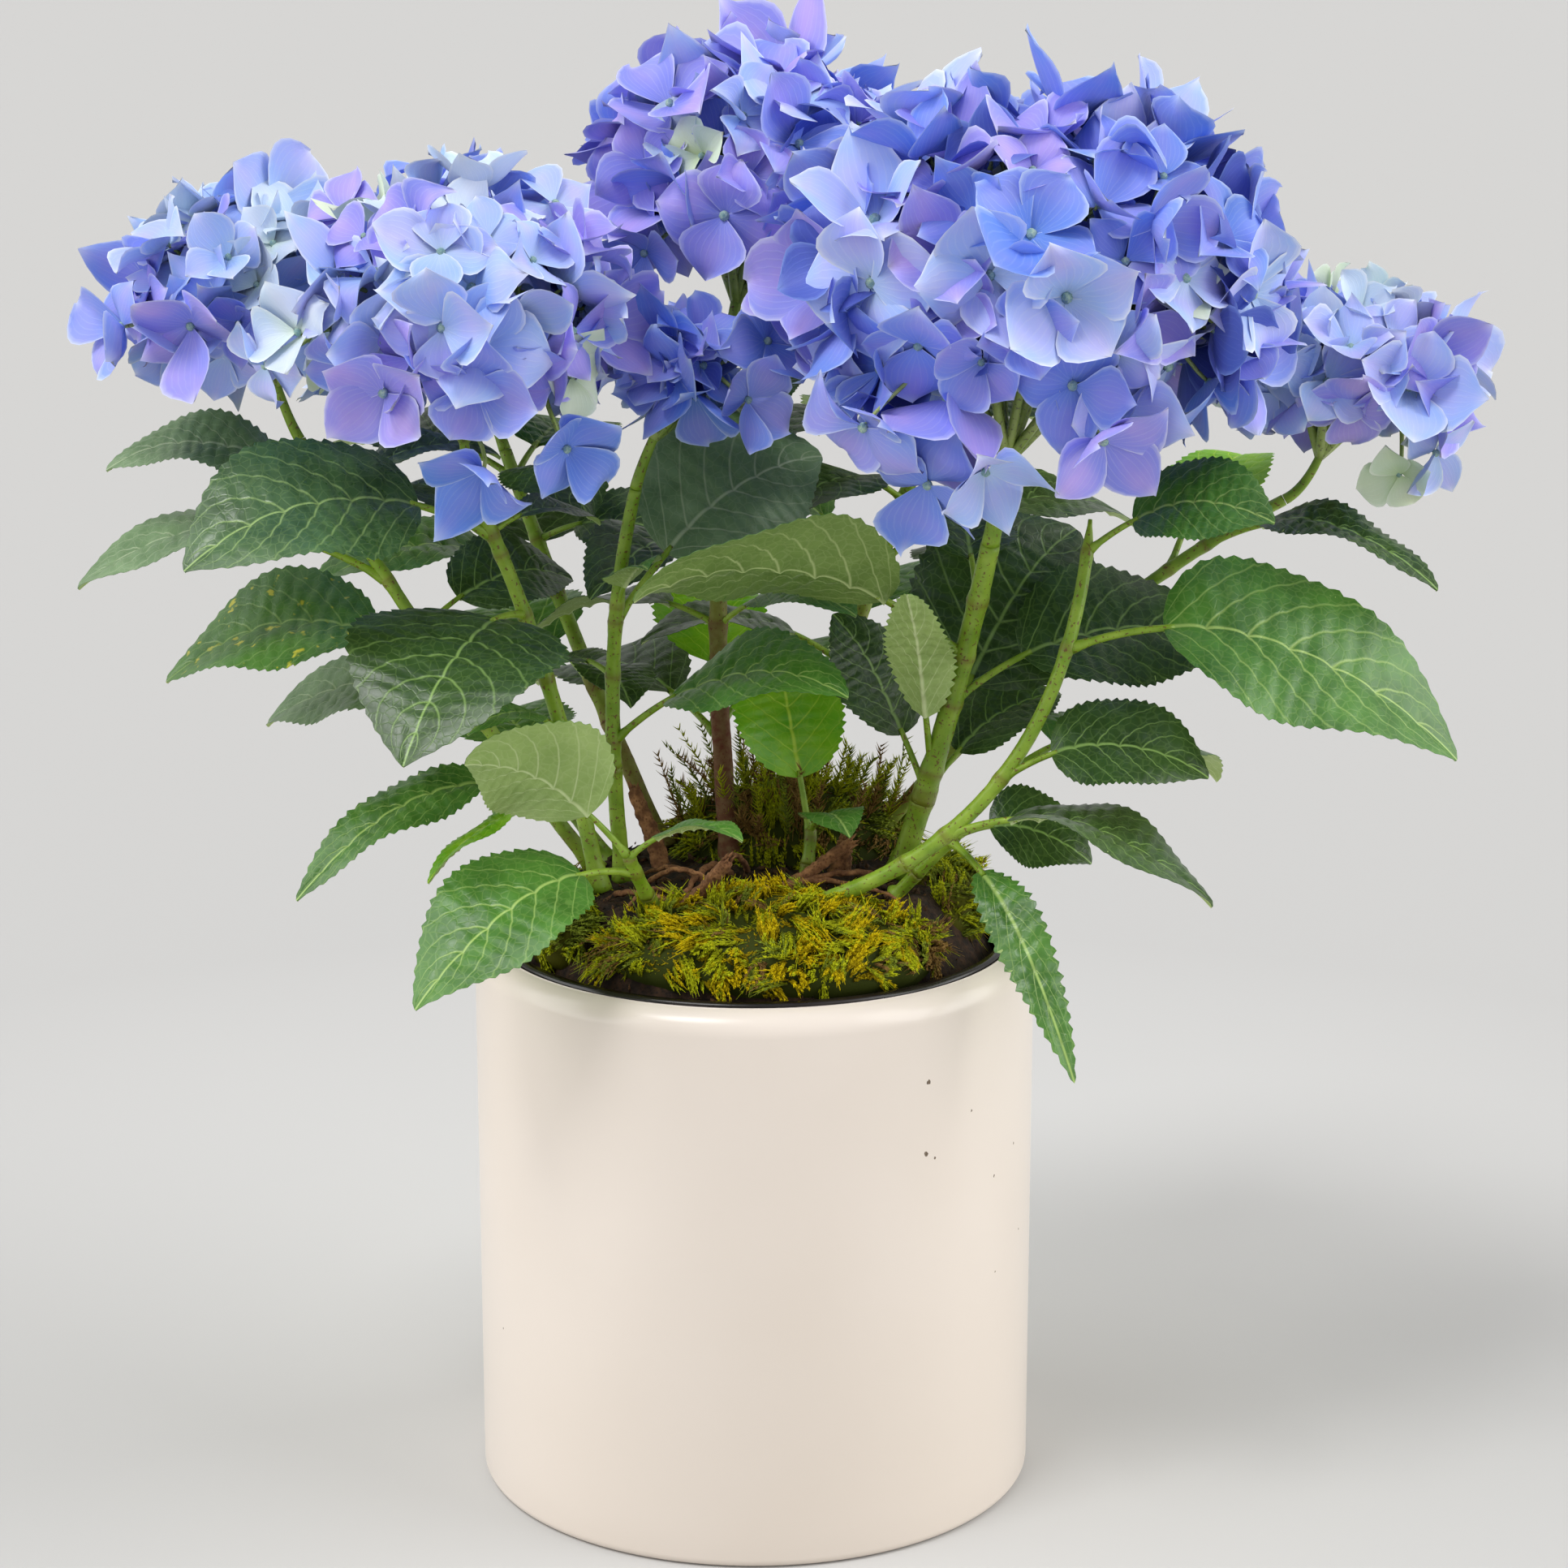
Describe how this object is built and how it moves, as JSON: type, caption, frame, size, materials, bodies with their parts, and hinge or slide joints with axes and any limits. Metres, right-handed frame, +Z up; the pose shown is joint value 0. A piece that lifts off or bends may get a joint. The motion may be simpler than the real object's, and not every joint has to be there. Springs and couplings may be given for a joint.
{
  "type": "potted mophead hydrangea shrub",
  "caption": "Blue mophead hydrangea in full bloom, with serrate leaves on green canes, standing in a cream cylinder pot with a dark liner, moss and soil.",
  "frame": {"origin": "centre of the pot's flat underside", "axes": "+Z up along the pot's axis, -Y towards the front of the plant, +X to its right seen from the front"},
  "size_m": [0.4492, 0.2654, 0.4658],
  "materials": {
    "glaze": "satin",
    "liner": "satin",
    "soil": "matte",
    "moss": "matte",
    "dead_wood": "matte",
    "cane": "satin",
    "leaf": "satin",
    "petal": "matte"
  },
  "bodies": {
    "root": {"bloom_a": "petal", "bloom_c": "petal", "bloom_d": "petal", "bloom_e": "petal", "bloom_f": "petal", "bloom_g": "petal", "bloom_h": "petal", "bloom_k": "petal", "cane_a": "cane", "cane_a_leaves": "leaf", "cane_b": "cane", "cane_b_leaves": "leaf", "cane_c": "cane", "cane_c_leaves": "leaf", "cane_d": "cane", "cane_d_leaves": "leaf", "cane_e": "cane", "cane_e_leaves": "leaf", "cane_f": "cane", "cane_f_leaves": "leaf", "cane_g": "cane", "cane_g_leaves": "leaf", "cane_h": "cane", "cane_h_leaves": "leaf", "cane_k": "cane", "cane_k_leaves": "leaf", "cover_pot": "glaze", "dry_stub_1": "dead_wood", "dry_stub_2": "dead_wood", "dry_stub_3": "dead_wood", "dry_stub_4": "dead_wood", "grow_pot": "liner", "moss_back": "moss", "moss_front": "moss", "moss_left": "moss", "moss_right": "moss", "root_ball": "soil", "sprout_back": "cane", "sprout_back_leaves": "leaf", "sprout_centre": "cane", "sprout_centre_leaves": "leaf", "sprout_front": "cane", "sprout_front_leaves": "leaf", "sprout_left": "cane", "sprout_left_leaves": "leaf", "sprout_right": "cane", "sprout_right_leaves": "leaf"}
  },
  "joints": []
}
